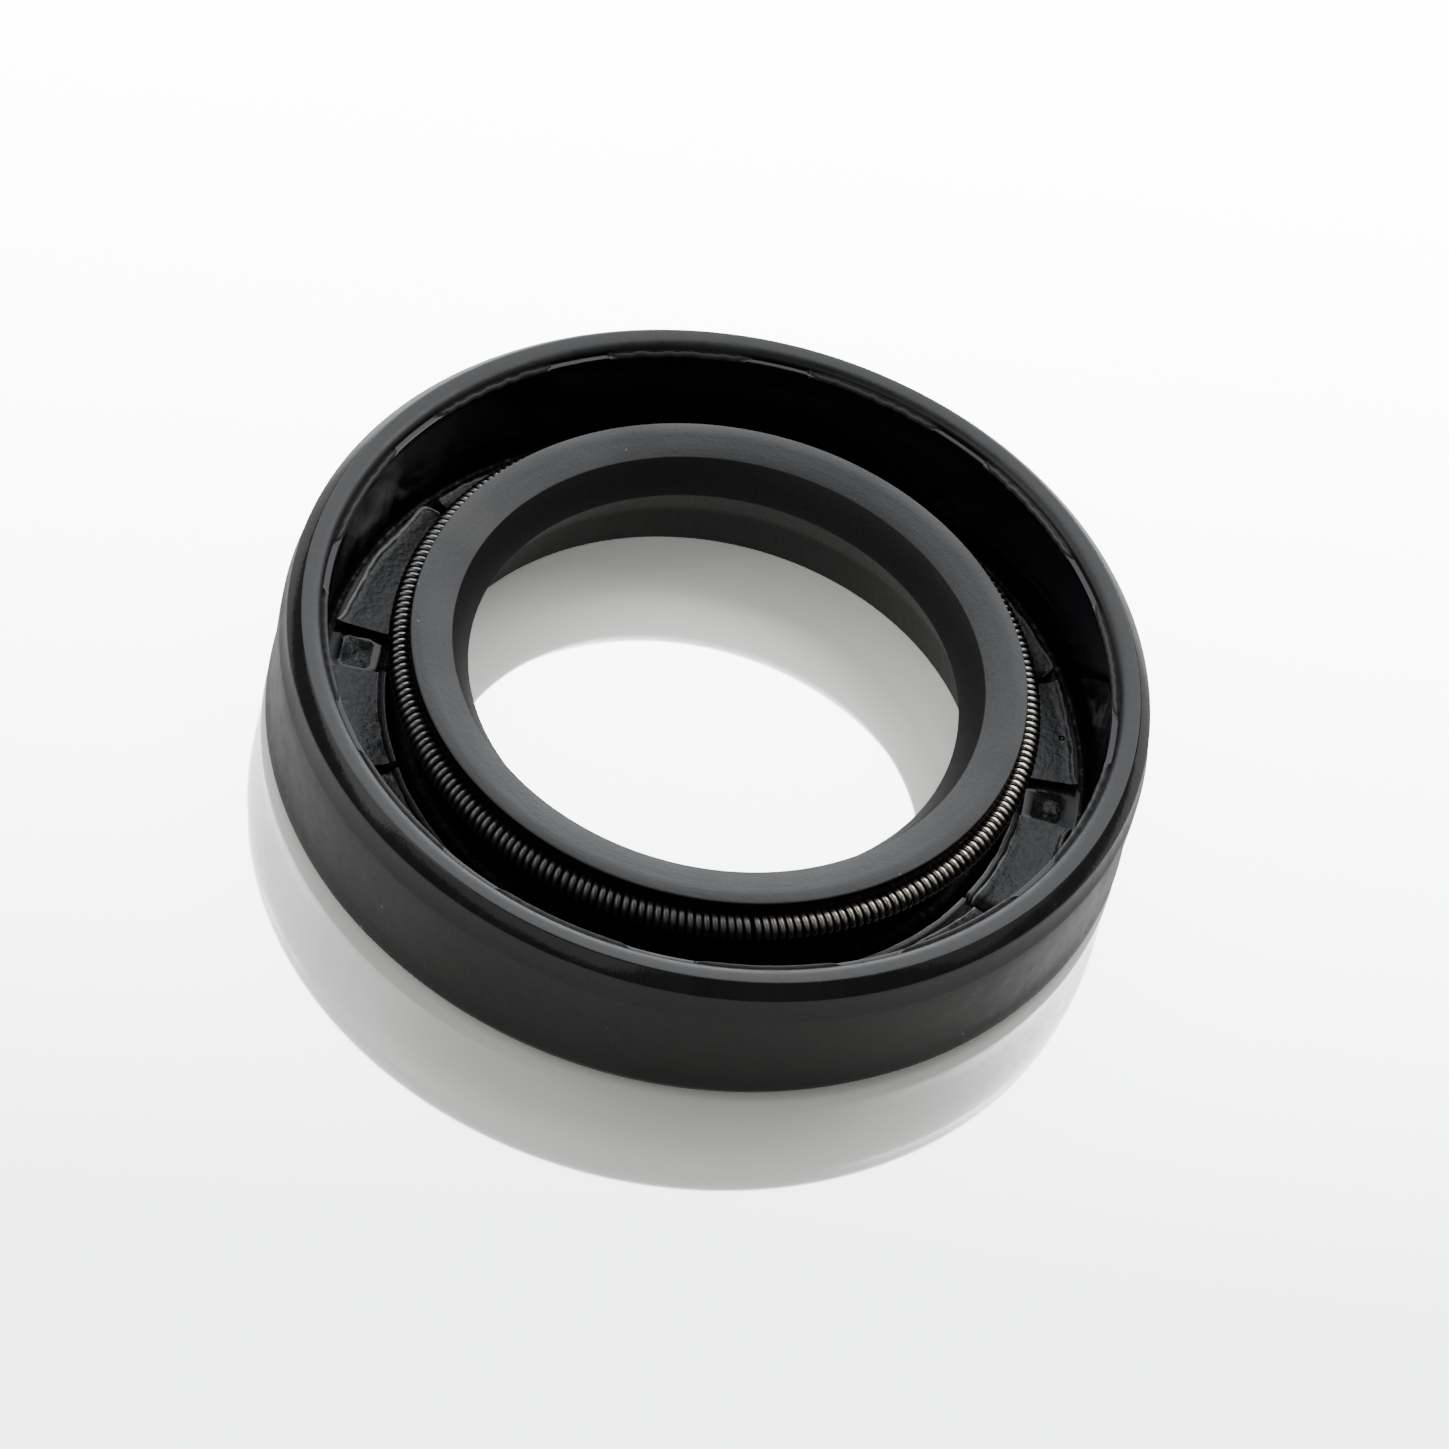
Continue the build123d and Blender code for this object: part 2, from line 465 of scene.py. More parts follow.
# The rim's crown and the flash over the case's rim: steps from the rim's inner edge, with the
# drops below the front and the rises over the case's top
rim_edge_radius = 19.3
rim_crown = (
    (0.85, 0.004),
    (0.62, 0.016),
    (0.46, 0.03),
    (0.34, 0.05),
    (0.22, 0.09),
    (0.12, 0.14),
    (0.05, 0.2),
    (0.0, 0.27),
)
rim_flash = (
    (0.03, 0.12),
    (0.1, 0.07),
    (0.16, 0.12),
    (0.22, 0.16),
    (0.28, 0.13),
    (0.33, 0.05),
    (0.335, -0.06),
    (0.315, -0.11),
)
pad_top = web_top + 0.4
# The pads' outer edge stands up as flash. Inside their inner edge runs a narrow trench, and a
# thin ridge of flash beside the neck's groove: steps outward and up from each edge
pad_outer_radius = case_inner_radius - 0.72
pad_outer_edge = (
    (0.04, -0.08),
    (0.035, 0.04),
    (0.0, 0.1),
    (-0.05, 0.125),
    (-0.12, 0.11),
    (-0.2, 0.05),
    (-0.32, 0.0),
)
pad_rings = (17.6, 17.2, 16.8, 16.5, pocket_radius + 0.04, pocket_radius)
pad_inner_radius = 15.84
pad_inner_edge = (
    (0.12, 0.0),
    (0.06, 0.03),
    (0.01, 0.02),
    (-0.02, -0.06),
    (-0.03, -0.2),
    (-0.12, -0.22),
    (-0.14, 0.02),
    (-0.16, 0.16),
    (-0.19, 0.2),
    (-0.22, 0.15),
    (-0.26, 0.12),
    (-0.32, 0.14),
    (-0.37, 0.08),
    (-0.39, -0.02),
)
groove_radius = 0.7
groove_centre = (14.76, pad_top)
head_radius = 14.96
lip_top = seal_width - 1.06
lip_top_rise = 0.26
lip_crown = lip_top + lip_top_rise
lip_shoulder = lip_crown - 0.04
lip_inner_top = lip_top + 0.045
lip_crown_radius = 14.3
lip_crown_steps = (
    (0.52, -0.022),
    (0.4, -0.008),
    (0.25, 0.003),
    (0.1, 0.004),
    (-0.05, -0.008),
    (-0.22, -0.035),
    (-0.5, -0.08),
)
lip_inner_radius = 12.91
edge_radius = 11.9
edge_height = 5.3
air_base = (13.0, 3.0)
heel_radius = 13.75
spring_low, spring_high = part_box("garter_spring")
coil_radius = 0.65
spring_height = (spring_low[2] + spring_high[2]) / 2 / mm
spring_radius = head_radius + 0.24
seat_radius = coil_radius + 0.03
head_side_top = lip_top + 0.18
polish_height = 7.28
# Every second support left a slit, with a torn tongue of rubber that droops beside it: lengths
# round the pad in degrees, depth in millimetres. One slit stands away from its support.
tongue_gap = 0.8
tongue_length = 8.0
droop_length = 2.0
droop_depth = 0.22
shifted_slit = 10
slit_shift = 7.4
pad_spread = 0.26
pad_edge_start = 17.3
pad_edge_width = 0.8
# Degrees of painted highlight on the flash: between two angles on the pads' outer edge, and
# round one angle on the ridge and the pads' inner edge
edge_highlight_angles = (138, 168)
ridge_highlight_angle = 318
ridge_highlight_spread = 20
# A nick in one pad, painted nearly black inside as shade, and a rubbed patch on the lip's top, in metres
nick_place = (0.01762, 0.00160, 0.00215)
lip_patch = (-0.01204, 0.00695, 0.0071)
ragged_flash = 0.05
# Radii at which the noise is read, so that it runs along the ridge, the pads' edge and the rim
ridge_track = 15.6
pad_track = 18.0
rim_track = 19.0


def arc_points(centre, radius, start, turn, count):
    """Points along an arc, both ends included, with angles in degrees from the outward direction."""
    angles = [radians(start + turn * step / count) for step in range(count + 1)]
    return [(centre[0] + radius * cos(angle), centre[1] + radius * sin(angle)) for angle in angles]


def paled(nodes, links, tint):
    """Where the rubber is thin flash it is paler and greyer; the same mask carries painted highlights on some
    flash.
    """
    thin = nodes.new("ShaderNodeAttribute")
    thin.attribute_name = "pale_flash_and_highlight"
    return blended(nodes, links, thin.outputs["Fac"], tint, (0.8, 0.805, 0.81, 1))


def make_moulded_rubber():
    """Outside cover, chamfers, rim and back: satin, faintly smudged, with a few specks."""
    material, nodes, links, shader = new_material("moulded_nitrile")
    cloud = add_noise(nodes, links, 170, 5)
    flow = add_group(nodes, streak_group, Around=26.0, Across=900.0)
    smudge = math_node(nodes, links, "ADD", cloud, flow.outputs["Height"])
    polish = nodes.new("ShaderNodeAttribute")
    polish.attribute_name = "polish"
    satin = ranged(nodes, links, smudge, 0.75, 1.25, 0.3, 0.42)
    smooth = ranged(nodes, links, polish.outputs["Fac"], 0.0, 1.0, 1.0, 0.38)
    links.new(math_node(nodes, links, "MULTIPLY", satin, smooth), shader.inputs["Roughness"])
    tint = blended(
        nodes,
        links,
        ranged(nodes, links, smudge, 0.8, 1.2, 0.0, 1.0),
        (0.0105, 0.0105, 0.0108, 1),
        (0.0165, 0.0163, 0.0160, 1),
    )
    specks = add_group(nodes, dust_group, Scale=1500.0, Size=0.14, Share=0.1)
    tint = paled(nodes, links, blended(nodes, links, specks.outputs["Mask"], tint, (0.13, 0.13, 0.13, 1)))
    links.new(tint, shader.inputs["Base Color"])
    grain = add_noise(nodes, links, 5200, 3)
    dents = add_noise(nodes, links, 520, 2)
    bumped(nodes, links, [(dents, 0.02), (flow.outputs["Height"], 0.01), (grain, 0.005)], shader)
    return material


def distance_from(nodes, links, spot):
    """Metres from a spot on the piece."""
    place = nodes.new("ShaderNodeTexCoord")
    away = nodes.new("ShaderNodeVectorMath")
    away.operation = "DISTANCE"
    away.inputs[1].default_value = spot
    links.new(place.outputs["Object"], away.inputs[0])
    return away.outputs["Value"]


def make_cut_rubber():
    """The lip's cut top: matt and paler, with rings from the knife and a rubbed warm patch."""
    material, nodes, links, shader = new_material("cut_nitrile")
    rings = add_group(nodes, streak_group, Around=9.0, Across=5200.0)
    cloud = add_noise(nodes, links, 260, 4)
    links.new(ranged(nodes, links, cloud, 0.3, 0.7, 0.4, 0.52), shader.inputs["Roughness"])
    tint = blended(
        nodes,
        links,
        ranged(nodes, links, rings.outputs["Height"], 0.35, 0.7, 0.0, 1.0),
        (0.015, 0.015, 0.0153, 1),
        (0.024, 0.024, 0.0242, 1),
    )
    patch = ranged(nodes, links, distance_from(nodes, links, lip_patch), 0.0004, 0.0021, 1.0, 0.0)
    rubbed = math_node(nodes, links, "MULTIPLY", patch, ranged(nodes, links, cloud, 0.35, 0.6, 0.3, 1.0))
    tint = blended(nodes, links, rubbed, tint, (0.047, 0.042, 0.033, 1))
    specks = add_group(nodes, dust_group, Scale=1600.0, Size=0.15, Share=0.12)
    tint = blended(nodes, links, specks.outputs["Mask"], tint, (0.1, 0.1, 0.1, 1))
    links.new(tint, shader.inputs["Base Color"])
    grain = add_noise(nodes, links, 4200, 4)
    bumped(nodes, links, [(rings.outputs["Height"], 0.01), (grain, 0.012)], shader)
    return material


def make_pad_rubber():
    """Floor pads: fine leathery wrinkles and scratches from the mould's face."""
    material, nodes, links, shader = new_material("wrinkled_nitrile")
    # Painted shade: nearly black inside the nick
    whole = ranged(nodes, links, distance_from(nodes, links, nick_place), 0.00007, 0.00016, 0.0, 1.0)
    tint = blended(nodes, links, whole, (0.001, 0.001, 0.001, 1), (0.013, 0.013, 0.0135, 1))
    links.new(paled(nodes, links, tint), shader.inputs["Base Color"])
    wrinkles = add_noise(nodes, links, 3600, 5)
    place = nodes.new("ShaderNodeTexCoord")
    creases = nodes.new("ShaderNodeTexVoronoi")
    creases.feature = "DISTANCE_TO_EDGE"
    creases.inputs["Scale"].default_value = 2400
    links.new(place.outputs["Object"], creases.inputs["Vector"])
    crease = ranged(nodes, links, creases.outputs["Distance"], 0.0, 0.25, 0.0, 1.0)
    links.new(ranged(nodes, links, wrinkles, 0.3, 0.7, 0.34, 0.46), shader.inputs["Roughness"])
    flow = add_noise(nodes, links, 900, 3)
    bumped(nodes, links, [(whole, 0.12), (flow, 0.04), (crease, 0.005), (wrinkles, 0.03)], shader)
    add_painted_shade(nodes, links, shader)
    return material


def make_bore_rubber():
    """Oil side, air side and heel: darker, with fine marks that run down the bore."""
    material, nodes, links, shader = new_material("bore_nitrile")
    place = nodes.new("ShaderNodeTexCoord")
    split = nodes.new("ShaderNodeSeparateXYZ")
    links.new(place.outputs["Object"], split.inputs[0])
    level = split.outputs["Z"]
    above_heel = ranged(nodes, links, level, air_base[1] * mm, (air_base[1] + 0.5) * mm, 0.0, 1.0)
    below_edge = ranged(nodes, links, level, edge_height * mm, (edge_height - 0.1) * mm, 0.0, 1.0)
    air_side = math_node(nodes, links, "MULTIPLY", above_heel, below_edge)
    tint = blended(nodes, links, air_side, (0.0105, 0.0105, 0.0108, 1), (0.055, 0.0555, 0.0535, 1))
    links.new(tint, shader.inputs["Base Color"])
    marks = add_group(nodes, streak_group, Around=420.0, Across=160.0)
    links.new(ranged(nodes, links, marks.outputs["Height"], 0.3, 0.7, 0.34, 0.5), shader.inputs["Roughness"])
    grain = add_noise(nodes, links, 3800, 4)
    bumped(nodes, links, [(marks.outputs["Height"], 0.012), (grain, 0.008)], shader)
    return material


rim_outer = (od_radius - lead_in[0] - front_chamfer[0], seal_width)
lead_in_start = seal_width - front_chamfer[1] - lead_in[1]
rib_bottom = spring_height - seat_radius - 0.45
neck_swell = head_radius - (groove_centre[0] - groove_radius)
neck_rise = rib_bottom - pad_top
neck_radius = (neck_swell**2 + neck_rise**2) / (2 * neck_swell)
neck_centre = (groove_centre[0] - groove_radius + neck_radius, pad_top)
body_mesh = spun_ring(
    [
        (heel_radius, 0.0),
        (od_radius - back_chamfer[0], 0.0),
        (od_radius, back_chamfer[1]),
        (od_radius, back_chamfer[1] + 0.25),
        *[(od_radius - share * waist_depth, height) for share, height in waist],
        (od_radius, lead_in_start - 0.06),
        (od_radius - 0.006, lead_in_start),
        *[
            (od_radius - lead_in[0] * (1 - (1 - share) ** 1.9), lead_in_start + lead_in[1] * share)
            for share in lead_in_shares
        ],
        rim_outer,
        *[(rim_edge_radius + out, seal_width - drop) for out, drop in rim_crown],
        *[(rim_edge_radius - back, case_top + rise) for back, rise in rim_flash],
        (case_inner_radius + 0.002, case_top - 0.12),
        (case_inner_radius + 0.012, case_top),
        (case_outer_radius, case_top),
        (case_outer_radius, web_bottom),
        (case_hole_radius, web_bottom),
        (case_hole_radius, web_top),
        (pad_outer_radius, web_top),
        *[(pad_outer_radius + out, pad_top + rise) for out, rise in pad_outer_edge],
        *[(radius, pad_top) for radius in pad_rings],
        *[(pad_inner_radius + out, pad_top + rise) for out, rise in pad_inner_edge],
        *arc_points(groove_centre, groove_radius, -8, -172, 12),
        *arc_points(neck_centre, neck_radius, 180, -degrees(asin(neck_rise / neck_radius)), 6)[1:],
        *arc_points((spring_radius, spring_height), seat_radius, 180 + 68, -136, 9),
        (head_radius, lip_shoulder),
        *[(lip_crown_radius + out, lip_crown + rise) for out, rise in lip_crown_steps],
        (lip_inner_radius, lip_inner_top),
        (edge_radius, edge_height),
        air_base,
    ]
)
round_off(body_mesh, od_radius - back_chamfer[0], 0.0, 0.05, 2)
round_off(body_mesh, od_radius, back_chamfer[1], 0.06, 2)
round_off(body_mesh, od_radius - lead_in[0], seal_width - front_chamfer[1], 0.06, 2)
round_off(body_mesh, rim_outer[0], seal_width, 0.06, 3)
round_off(body_mesh, head_radius, lip_shoulder, 0.06, 3)
round_off(body_mesh, lip_inner_radius, lip_inner_top, 0.03, 2)
round_off(body_mesh, edge_radius, edge_height, 0.03, 2)
round_off(body_mesh, air_base[0], air_base[1], 0.35, 4)
round_off(body_mesh, heel_radius, 0.0, 0.05, 2)
round_off(body_mesh, case_outer_radius, web_bottom, case_bend_radius + sheet_thickness, 3)
round_off(body_mesh, head_radius, rib_bottom, 0.2, 4)

pale_flash_and_highlight_layer = body_mesh.verts.layers.float.new("pale_flash_and_highlight")
polish_layer = body_mesh.verts.layers.float.new("polish")
body_shade_layer = body_mesh.verts.layers.float.new("painted_shade")
for vert in body_mesh.verts:
    radius, angle, height = polar(vert.co)
    place, number = place_in_share(angle)
    vert[polish_layer] = 1.0 if height > polish_height and radius > rim_outer[0] - 0.02 else 0.0
    bared = number % 2 == 1 and abs(place) < support_half_angle - 0.1
    torn_place = place - slit_shift if number == shifted_slit else place
    slit = number % 2 == 0 and -support_half_angle - 0.1 < torn_place < tongue_gap - support_half_angle - 0.1
    past = abs(place) - support_half_angle if number % 2 == 1 else 99.0
    tongue = torn_place + support_half_angle - tongue_gap
    drooping = number % 2 == 0 and 0 <= tongue < droop_length
    before = -support_half_angle - torn_place
    # Painted highlight round one angle, on the ridge and the pads' inner edge
    rubbed = exp(-((((angle % 360) - ridge_highlight_angle) / ridge_highlight_spread) ** 4))
    on_floor = web_top - 0.02 < height < pad_top + 0.3 and pad_inner_radius - 0.4 < radius < 18.9
    if groove_centre[0] - groove_radius - 0.05 < radius < pad_inner_radius - 0.4 and height < head_side_top:
        # Painted shade in the groove, on the neck and on the head's side round the spring
        vert[body_shade_layer] = 0.9 if height > pad_top - groove_radius - 0.02 else 0.0
    if on_floor and (bared or slit):
        # Open down to the case, with steep ends; the cover of the web's hole stays on, but lower
        towards = 1 if place > 0 else -1
        if bared and abs(place) > support_half_angle - 0.7:
            angle += towards * (support_half_angle - 0.1 - abs(place))
        if radius > pocket_radius + 0.02:
            put(vert, radius, angle, web_top - 0.06)
        elif height > web_top + 0.03:
            put(vert, radius, angle, web_top - 0.1 + 0.15 * (height - web_top))
            # Painted shade on the lowered cover in the bared pockets
            vert[body_shade_layer] = 0.95 if bared else 0.0
    elif on_floor and radius > pad_edge_start:
        # Pad's outer edge: it wanders, and spreads towards the wall beside each bared pocket
        share = min(1.0, (radius - pad_edge_start) / pad_edge_width)
        edge = pad_spread * exp(-(past / 1.3)) - 0.1
        edge += 0.1 * wander(angle, pad_track, 0.42) + 0.03 * wander(angle, pad_track, 1.6)
        if number % 2 == 0 and 0 <= tongue < tongue_length:
            edge += pad_spread * (1 - tongue / tongue_length) - 0.95 * max(0.0, 1 - tongue / 2.6) ** 3
        radius += share * edge
        if height > pad_top + 0.005:
            crest = height > pad_top + 0.06
            # Painted highlight: the flash on the outer edge is paler between two angles
            worn = 0.5 if edge_highlight_angles[0] < angle % 360 < edge_highlight_angles[1] else 0.12
            vert[pale_flash_and_highlight_layer] = worn if crest else 0.0
            waves = 0.03 * wander(angle, radius, 3.0) + 0.03 * wander(angle, pad_track, 0.6)
            height += waves if crest else 0.4 * waves
        if drooping and height > pad_top - 0.1:
            height -= droop_depth * (1 - tongue / droop_length) ** 2
        put(vert, radius, angle, height)
    elif on_floor and radius > pad_inner_radius - 0.06:
        if height > pad_top + 0.005:
            # Paler flash, with painted highlight round one angle
            vert[pale_flash_and_highlight_layer] = 0.12 + 0.8 * rubbed
            radius += 0.05 * wander(angle, radius, 1.3) + 0.03 * wander(angle, radius, 5.0)
            height += 0.03 * wander(angle, radius, 5.0)
        if number == shifted_slit and 0 <= before < 12:
            radius += 0.42 * (1 - before / 12) * max(0.0, 1 - (radius - 15.8) / 1.3)
        if drooping and height > pad_top - 0.1:
            height -= droop_depth * (1 - tongue / droop_length) ** 2
        put(vert, radius, angle, height)
    elif on_floor and radius < pad_inner_radius - 0.13 and height > pad_top - 0.05:
        # Thin ridge of flash between the trench and the neck's groove, torn away in places
        torn = min(0.12, max(0.0, wander(angle, ridge_track, 0.8) - 0.5))
        sway = 0.02 * wander(angle, ridge_track, 0.9)
        rise = 0.015 * wander(angle, ridge_track, 1.5) - torn
        put(vert, radius + sway, angle, height + rise)
        # Paler flash, with painted highlight round one angle
        vert[pale_flash_and_highlight_layer] = (1.0 if height > pad_top + 0.125 else 0.5) * (0.2 + 0.8 * rubbed)
    if radius < rim_edge_radius - 0.01 and height > case_top - 0.13:
        # Flash over the case's rim, missing above each support
        beyond = max(0.0, abs(place) - support_half_angle)
        if beyond == 0.0:
            put(vert, rim_edge_radius - 0.01, angle, max(case_top + 0.01, min(height, case_top + 0.1)))
        elif abs(radius - case_inner_radius) > 0.009 or height > case_top + 0.01:
            lift = 1.0 - exp(-beyond / 0.7)
            ragged = ragged_flash * wander(angle, rim_track, 2.4) + 0.02 * wander(angle, rim_track, 9.0)
            out = radius + (rim_edge_radius - radius) * (1 - lift) + lift * ragged * 0.5
            if height < case_top + 0.04:
                out = min(out, case_inner_radius - 0.004) if lift > 0.6 else case_inner_radius - 0.002
            put(vert, out, angle, height + 0.9 * ragged * lift)
            vert[pale_flash_and_highlight_layer] = 0.08 if radius < rim_edge_radius - 0.12 else 0.0

for face in body_mesh.faces:
    middle = face.calc_center_median()
    radius, _, height = polar(middle)
    inward = face.normal.x * middle.x + face.normal.y * middle.y < 0
    if height > lip_top - 0.02 and lip_inner_radius - 0.04 < radius < head_radius and face.normal.z > 0.8:
        face.material_index = 1
    elif web_top - 0.1 < height < pad_top + 0.3 and 15.4 < radius < 18.7:
        face.material_index = 2
    # The groove, the neck and the head's side take the pad rubber, which carries their painted shade
    elif 14.0 < radius < 15.45 and pad_top - groove_radius < height < head_side_top:
        face.material_index = 2
    elif radius < 13.8 and inward:
        face.material_index = 3
body_rubbers = [make_moulded_rubber(), make_cut_rubber(), make_pad_rubber(), make_bore_rubber()]
body = finished_piece(body_mesh, "moulded_body", body_rubbers, 38.0)
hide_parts("rubber_body")
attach(body, "root")


# Garter spring: fine oiled wire wound close into a coil, one end screwed into the other. It lies
# in the groove behind the lip's head and holds the sealing edge on the shaft.
spring_turns = 248
wire_radius = 0.184
helix_radius = coil_radius - wire_radius
points_per_turn = 28
# Where the ends are screwed together the turns stand a little apart, in degrees
joint_angle = 275.9
joint_opening = 0.5
joint_width = 0.5
joint_reach = 9.0
coil_track = 15.2
# Painted highlight: the wire's colour is bright and warm round the first place; round the second it is
# rougher, in metres
spring_highlight_place = (0.0118, -0.0096, 0.0057)
dulled_place = (-0.0075, -0.0130, 0.0057)


def make_spring_wire():
    """Oiled steel wire, dull with old oil; painted highlight along each turn's outside and round one place,
    painted shade between the turns.
    """
    material, nodes, links, shader = new_material("oiled_spring_wire")
    shader.inputs["Metallic"].default_value = 1.0
    film = add_noise(nodes, links, 1500, 4)
    outward = nodes.new("ShaderNodeAttribute")
    outward.attribute_name = "outward"
    # Painted highlight along the outside of each turn, painted shade between the turns
    crest = ranged(nodes, links, outward.outputs["Fac"], 0.45, 0.95, 0.0, 1.0)
    # Painted highlight round one place on the ring: bright, warm colour
    rubbed = ranged(nodes, links, distance_from(nodes, links, spring_highlight_place), 0.006, 0.013, 1.0, 0.0)
    dulled = ranged(nodes, links, distance_from(nodes, links, dulled_place), 0.0095, 0.0145, 0.18, 0.0)
    bright = blended(nodes, links, rubbed, (0.18, 0.18, 0.18, 1), (0.8, 0.73, 0.63, 1))
    oily = ranged(nodes, links, film, 0.38, 0.66, 0.0, 1.0)
    dull = blended(nodes, links, oily, (0.05, 0.05, 0.053, 1), (0.11, 0.108, 0.106, 1))
    links.new(blended(nodes, links, crest, dull, bright), shader.inputs["Base Color"])
    smooth = ranged(nodes, links, film, 0.3, 0.7, 0.19, 0.3)
    links.new(math_node(nodes, links, "ADD", smooth, dulled), shader.inputs["Roughness"])
    scratches = add_noise(nodes, links, 9000, 3)
    bumped(nodes, links, [(scratches, 0.002)], shader)
    return material


coil_curve = bpy.data.curves.new("wound_spring", "CURVE")
coil_curve.dimensions = "3D"
coil_curve.bevel_depth = wire_radius * mm
coil_curve.bevel_resolution = 3
coil_line = coil_curve.splines.new("POLY")
coil_line.points.add(spring_turns * points_per_turn - 1)
for number, point in enumerate(coil_line.points):
    turn = 2 * pi * number / points_per_turn
    angle = degrees(turn / spring_turns)
    from_joint = (angle - joint_angle + 180) % 360 - 180
    opening = joint_opening / 2 * tanh(from_joint / joint_width) * exp(-abs(from_joint) / joint_reach)
    angle += opening + 0.11 * wander(angle, coil_track, 1.3)
    sway = helix_radius * (1 + 0.012 * wander(angle, coil_track, 2.1))
    radius = (spring_radius + sway * cos(turn)) * mm
    height = (spring_height - sway * sin(turn)) * mm
    point.co = (radius * cos(radians(angle)), radius * sin(radians(angle)), height, 1.0)
coil_line.use_cyclic_u = True
coil_object = bpy.data.objects.new("wound_spring_line", coil_curve)
bpy.context.scene.collection.objects.link(coil_object)
bpy.context.view_layer.update()
coil_data = bpy.data.meshes.new_from_object(coil_object.evaluated_get(bpy.context.evaluated_depsgraph_get()))
bpy.data.objects.remove(coil_object)
coil_mesh = bmesh.new()
coil_mesh.from_mesh(coil_data)
bmesh.ops.remove_doubles(coil_mesh, verts=coil_mesh.verts, dist=0.0000005)
bmesh.ops.recalc_face_normals(coil_mesh, faces=coil_mesh.faces)
outward_layer = coil_mesh.verts.layers.float.new("outward")
for vert in coil_mesh.verts:
    radius, _, height = polar(vert.co)
    reach = hypot(radius - spring_radius, height - spring_height)
    vert[outward_layer] = min(1.0, max(0.0, (reach - helix_radius) / wire_radius))
spring = finished_piece(coil_mesh, "wound_spring", [make_spring_wire()], 80.0)
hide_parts("garter_spring")
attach(spring, "root")


# Floor: a sheet of pale glossy acrylic, much larger than the seal. The seal lies loose on it,
# flat on its back face, and its mirror image shows in the sheet.
floor_size = 6.0
floor_exposure = 1.7
floor_mirror = 3.4
floor_glow = 0.08
light_on_seal = 0.72
mirror_on_seal = 0.2
# Painted light, seen by the camera only: it grows brighter from the front to the back; the two distances and
# the two strengths
fade_front, fade_back = -0.03, 0.045
fade_dim, fade_bright = 0.5, 1.6


def make_floor():
    """White acrylic. The camera sees it brighter than the seal does, as a lit white table looks, and painted
    light makes it brighter towards the back.
    """
    material, nodes, links, shader = new_material("pale_acrylic")
    nodes.remove(shader)
    path = nodes.new("ShaderNodeLightPath")
    seen = path.outputs["Is Camera Ray"]
    place = nodes.new("ShaderNodeTexCoord")
    split = nodes.new("ShaderNodeSeparateXYZ")
    links.new(place.outputs["Object"], split.inputs[0])
    # Painted light for the camera: brighter towards the back
    depth = ranged(nodes, links, split.outputs["Y"], fade_front, fade_back, fade_dim, fade_bright)
    gain = ranged(nodes, links, seen, 0.0, 1.0, light_on_seal, floor_exposure)
    depth = math_node(nodes, links, "POWER", depth, seen)
    gain = math_node(nodes, links, "MULTIPLY", gain, depth)
    shine = ranged(nodes, links, seen, 0.0, 1.0, mirror_on_seal, floor_mirror)
    mirror = math_node(nodes, links, "MULTIPLY", depth, shine)

    def scaled(colour, factor):
        node = nodes.new("ShaderNodeVectorMath")
        node.operation = "SCALE"
        node.inputs[0].default_value = colour
        links.new(factor, node.inputs["Scale"])
        return node.outputs["Vector"]

    matt = nodes.new("ShaderNodeBsdfDiffuse")
    links.new(scaled((0.95, 0.935, 0.89), gain), matt.inputs["Color"])
    gloss = nodes.new("ShaderNodeBsdfGlossy")
    gloss.inputs["Roughness"].default_value = 0.05
    links.new(scaled((0.99, 1.0, 1.0), mirror), gloss.inputs["Color"])
    surface = nodes.new("ShaderNodeAddShader")
    links.new(matt.outputs["BSDF"], surface.inputs[0])
    links.new(gloss.outputs["BSDF"], surface.inputs[1])
    glow = nodes.new("ShaderNodeEmission")
    glow.inputs["Color"].default_value = (1.0, 0.99, 0.95, 1)
    glow.inputs["Strength"].default_value = floor_glow
    lit = nodes.new("ShaderNodeAddShader")
    links.new(surface.outputs["Shader"], lit.inputs[0])
    links.new(glow.outputs["Emission"], lit.inputs[1])
    links.new(lit.outputs["Shader"], nodes["Material Output"].inputs["Surface"])
    return material


floor_mesh = bmesh.new()
bmesh.ops.create_grid(floor_mesh, x_segments=1, y_segments=1, size=floor_size / 2)
floor = finished_piece(floor_mesh, "floor", [make_floor()], 35.0)


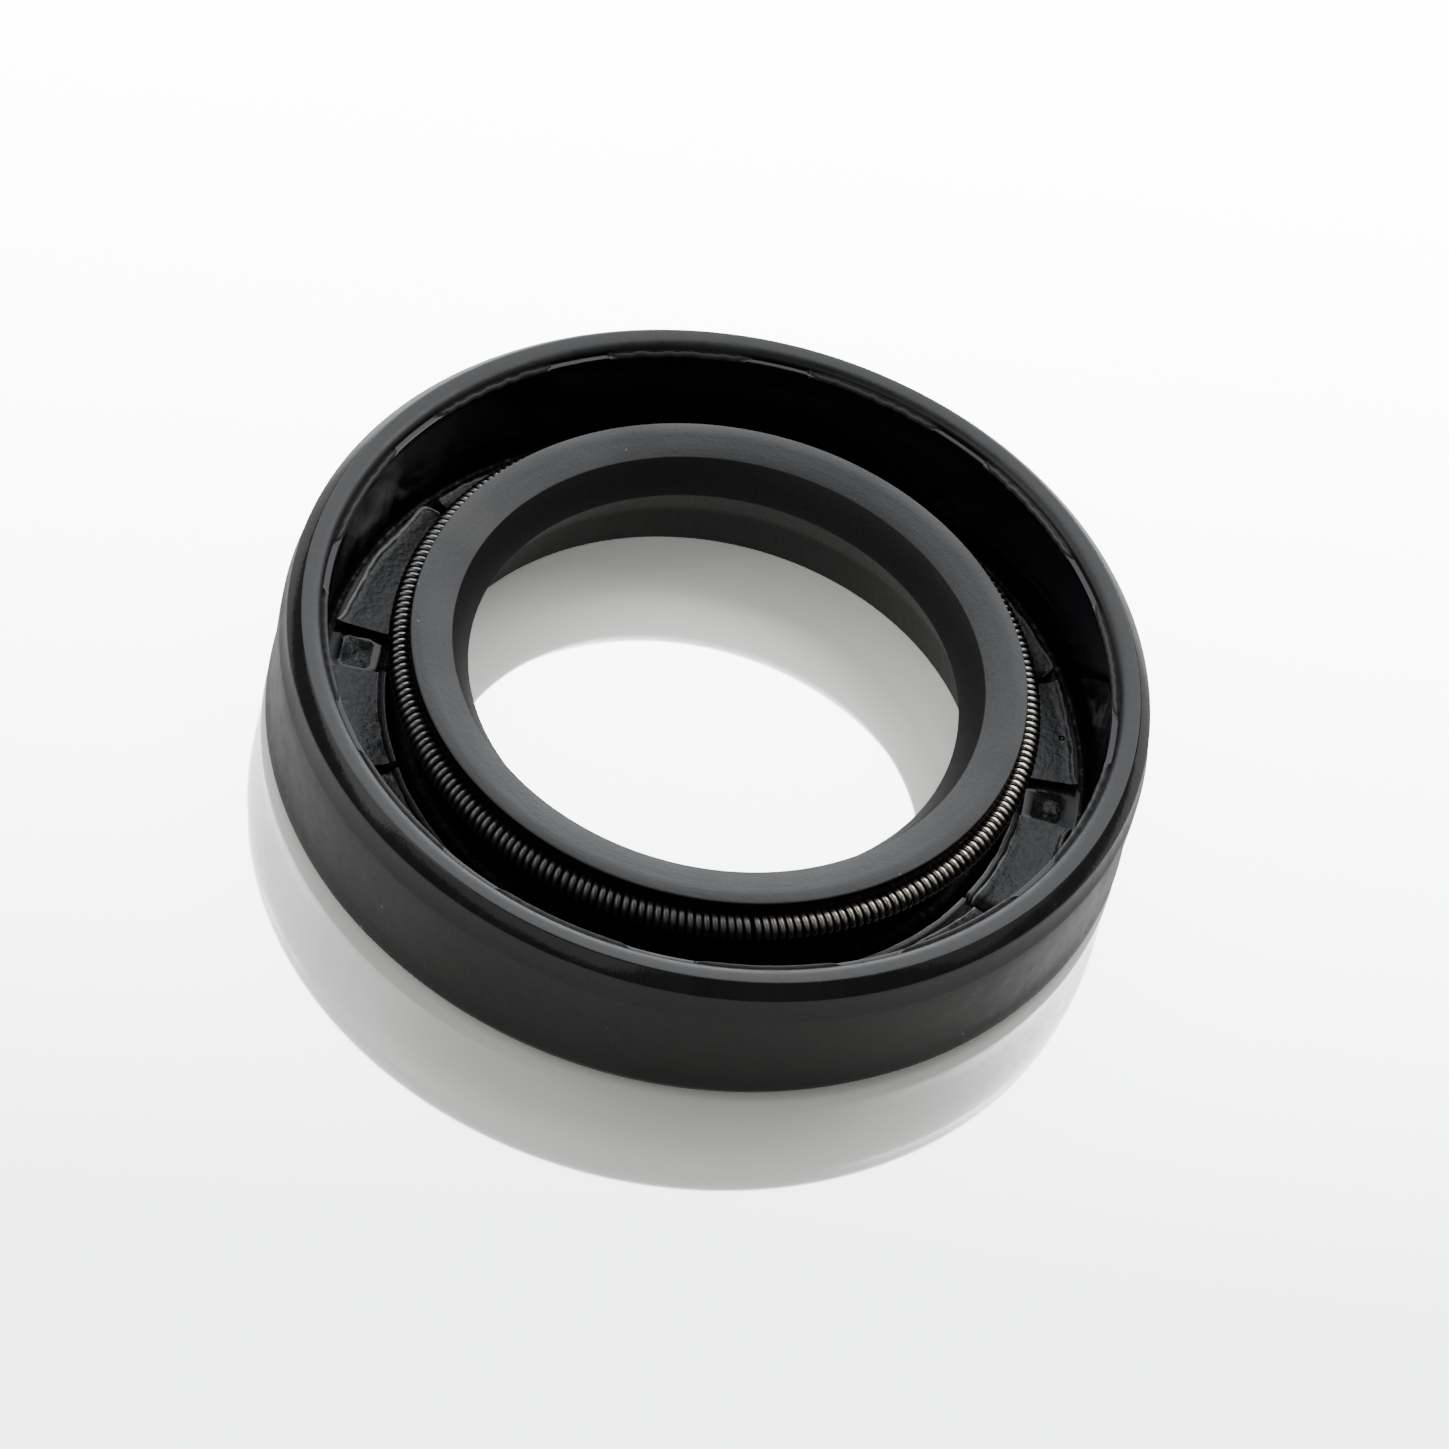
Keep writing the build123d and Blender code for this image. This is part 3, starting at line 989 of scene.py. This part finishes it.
# Light: one wide soft box behind and above the seal with a lower one under it, weaker ones to
# its left and right, a small one high on the right for the wire's glints, and a dim studio.
def add_softbox(name, azimuth, elevation, brightness, width, height, distance=1.2, colour=(1, 1, 1)):
    """A soft box at a direction in degrees; brightness is its radiance, width and height in degrees."""
    turn, rise = radians(azimuth), radians(elevation)
    towards = Vector((cos(rise) * cos(turn), cos(rise) * sin(turn), sin(rise)))
    lamp = bpy.data.lights.new(name, "AREA")
    lamp.shape = "RECTANGLE"
    lamp.size = 2 * distance * tan(radians(width / 2))
    lamp.size_y = 2 * distance * tan(radians(height / 2))
    lamp.energy = brightness * pi * lamp.size * lamp.size_y
    lamp.color = colour
    box = bpy.data.objects.new(name, lamp)
    facing = towards.to_track_quat("Z", "Y").to_matrix().to_4x4()
    box.matrix_world = Matrix.Translation(towards * distance) @ facing
    box.visible_camera = False
    bpy.context.scene.collection.objects.link(box)


add_softbox("back_box", 80, 36, 2.25, 66, 68, colour=(0.955, 0.98, 1.02))
add_softbox("high_right_box", 30, 57, 2.3, 26, 22)
add_softbox("low_back_box", 84, 15, 2.3, 48, 28, distance=1.3, colour=(0.97, 0.99, 1.01))
add_softbox("left_box", 170, 42, 1.3, 40, 44)
add_softbox("front_left_box", 225, 45, 0.6, 50, 30)
add_softbox("right_box", 2, 40, 0.35, 60, 44)
world = bpy.data.worlds.new("studio")
world.use_nodes = True
studio_glow = world.node_tree.nodes["Background"]
studio_glow.inputs["Color"].default_value = (0.9, 0.95, 1.0, 1)
studio_glow.inputs["Strength"].default_value = 0.095
bpy.context.scene.world = world


# Camera: a long lens that looks down at the seal from the front, 49 degrees above its plane, and
# leans a little to the right.
camera_aim = Vector((0.05, -4.82, 8.0)) * mm
camera_distance = 438.5 * mm
camera_elevation = radians(49.02)
camera_azimuth = radians(-101.07)
camera_roll = radians(14.53)
camera_data = bpy.data.cameras.new("camera")
camera_data.sensor_width = 36.0
camera_data.lens = 230.0
camera_data.clip_start = 0.01
camera_data.clip_end = 10.0
camera = bpy.data.objects.new("camera", camera_data)
towards_camera = Vector(
    (
        cos(camera_elevation) * cos(camera_azimuth),
        cos(camera_elevation) * sin(camera_azimuth),
        sin(camera_elevation),
    )
)
camera.matrix_world = (
    Matrix.Translation(camera_aim + towards_camera * camera_distance)
    @ towards_camera.to_track_quat("Z", "Y").to_matrix().to_4x4()
    @ Matrix.Rotation(camera_roll, 4, "Z")
)
bpy.context.scene.collection.objects.link(camera)
bpy.context.scene.camera = camera
